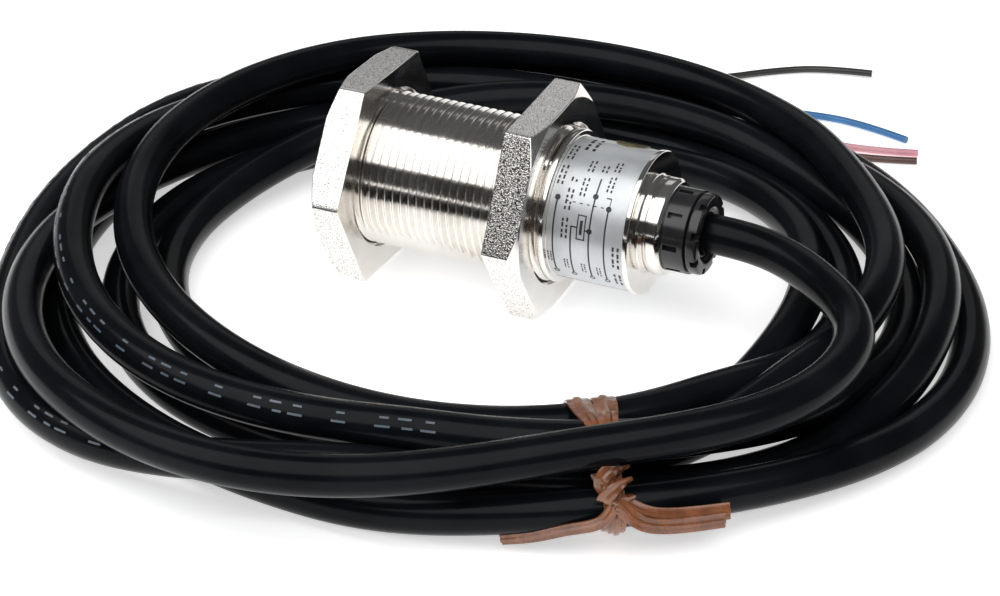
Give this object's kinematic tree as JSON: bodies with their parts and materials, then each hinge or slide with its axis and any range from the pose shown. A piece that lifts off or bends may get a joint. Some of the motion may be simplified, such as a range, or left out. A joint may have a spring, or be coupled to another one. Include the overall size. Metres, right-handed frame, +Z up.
{
  "type": "proximity sensor",
  "caption": "Cylindrical threaded photoelectric proximity sensor with two lock nuts, strain relief and a coiled four-core lead held by a twist tie.",
  "frame": {"origin": "on the surface the sensor stands on, below the middle of its length from sensing face to strain relief", "axes": "+X along the sensor from the sensing face to the cable, +Z up, +Y to the left when looking along +X"},
  "size_m": [0.1158, 0.1327, 0.0246],
  "materials": {
    "nickel_plated_brass": "bright nickel plate over turned brass",
    "nut_nickel": "bright nickel plate over turned brass",
    "label_film": "printed silver polyester film",
    "window_plastic": "dark red moulded acrylic",
    "seal_rubber": "moulded rubber",
    "black_plastic": "black moulded nylon",
    "lens_plastic": "clear moulded acrylic",
    "led_clear": "clear epoxy",
    "photodiode_plastic": "dark infrared epoxy",
    "circuit_laminate": "green solder mask on glass laminate",
    "chip_plastic": "moulded epoxy",
    "capacitor_ceramic": "fired ceramic with tinned ends",
    "cable_jacket": "black PVC with a satin sheen",
    "core_black_pvc": "black PVC insulation",
    "core_blue_pvc": "blue PVC insulation",
    "core_pink_pvc": "pink PVC insulation",
    "core_brown_pvc": "brown PVC insulation",
    "tie_plastic": "translucent brown plastic over a wire core"
  },
  "bodies": {
    "housing": {"barrel": "nickel_plated_brass", "end_cap": "nickel_plated_brass", "label": "label_film", "front_window": "window_plastic", "window_seal": "seal_rubber", "optics_holder": "black_plastic", "emitter_lens": "lens_plastic", "receiver_lens": "lens_plastic", "emitter_led": "led_clear", "receiver_photodiode": "photodiode_plastic", "optics_board": "circuit_laminate", "circuit_board": "circuit_laminate", "signal_chip": "chip_plastic", "output_transistor": "chip_plastic", "voltage_regulator": "chip_plastic", "indicator_led": "led_clear", "board_capacitors": "capacitor_ceramic", "indicator_lens": "lens_plastic", "strain_relief": "black_plastic", "strain_relief_cap": "black_plastic", "cable_seal": "seal_rubber", "inner_core_black": "core_black_pvc", "inner_core_blue": "core_blue_pvc", "inner_core_pink": "core_pink_pvc", "inner_core_brown": "core_brown_pvc", "cable_lead": "cable_jacket", "cable_coil": "cable_jacket", "cable_tail": "cable_jacket", "core_black": "core_black_pvc", "core_blue": "core_blue_pvc", "core_pink": "core_pink_pvc", "core_brown": "core_brown_pvc", "tie_band": "tie_plastic", "tie_knot": "tie_plastic", "tie_tail_left": "tie_plastic", "tie_tail_right": "tie_plastic"},
    "front_nut": {"front_nut": "nut_nickel"},
    "rear_nut": {"rear_nut": "nut_nickel"}
  },
  "joints": [
    {"name": "front_nut_travel", "type": "slide", "parent": "housing", "child": "front_nut", "axis": [1, 0, 0], "range_m": [0, 0.008]},
    {"name": "rear_nut_travel", "type": "slide", "parent": "housing", "child": "rear_nut", "axis": [-1, 0, 0], "range_m": [0, 0.008]}
  ]
}
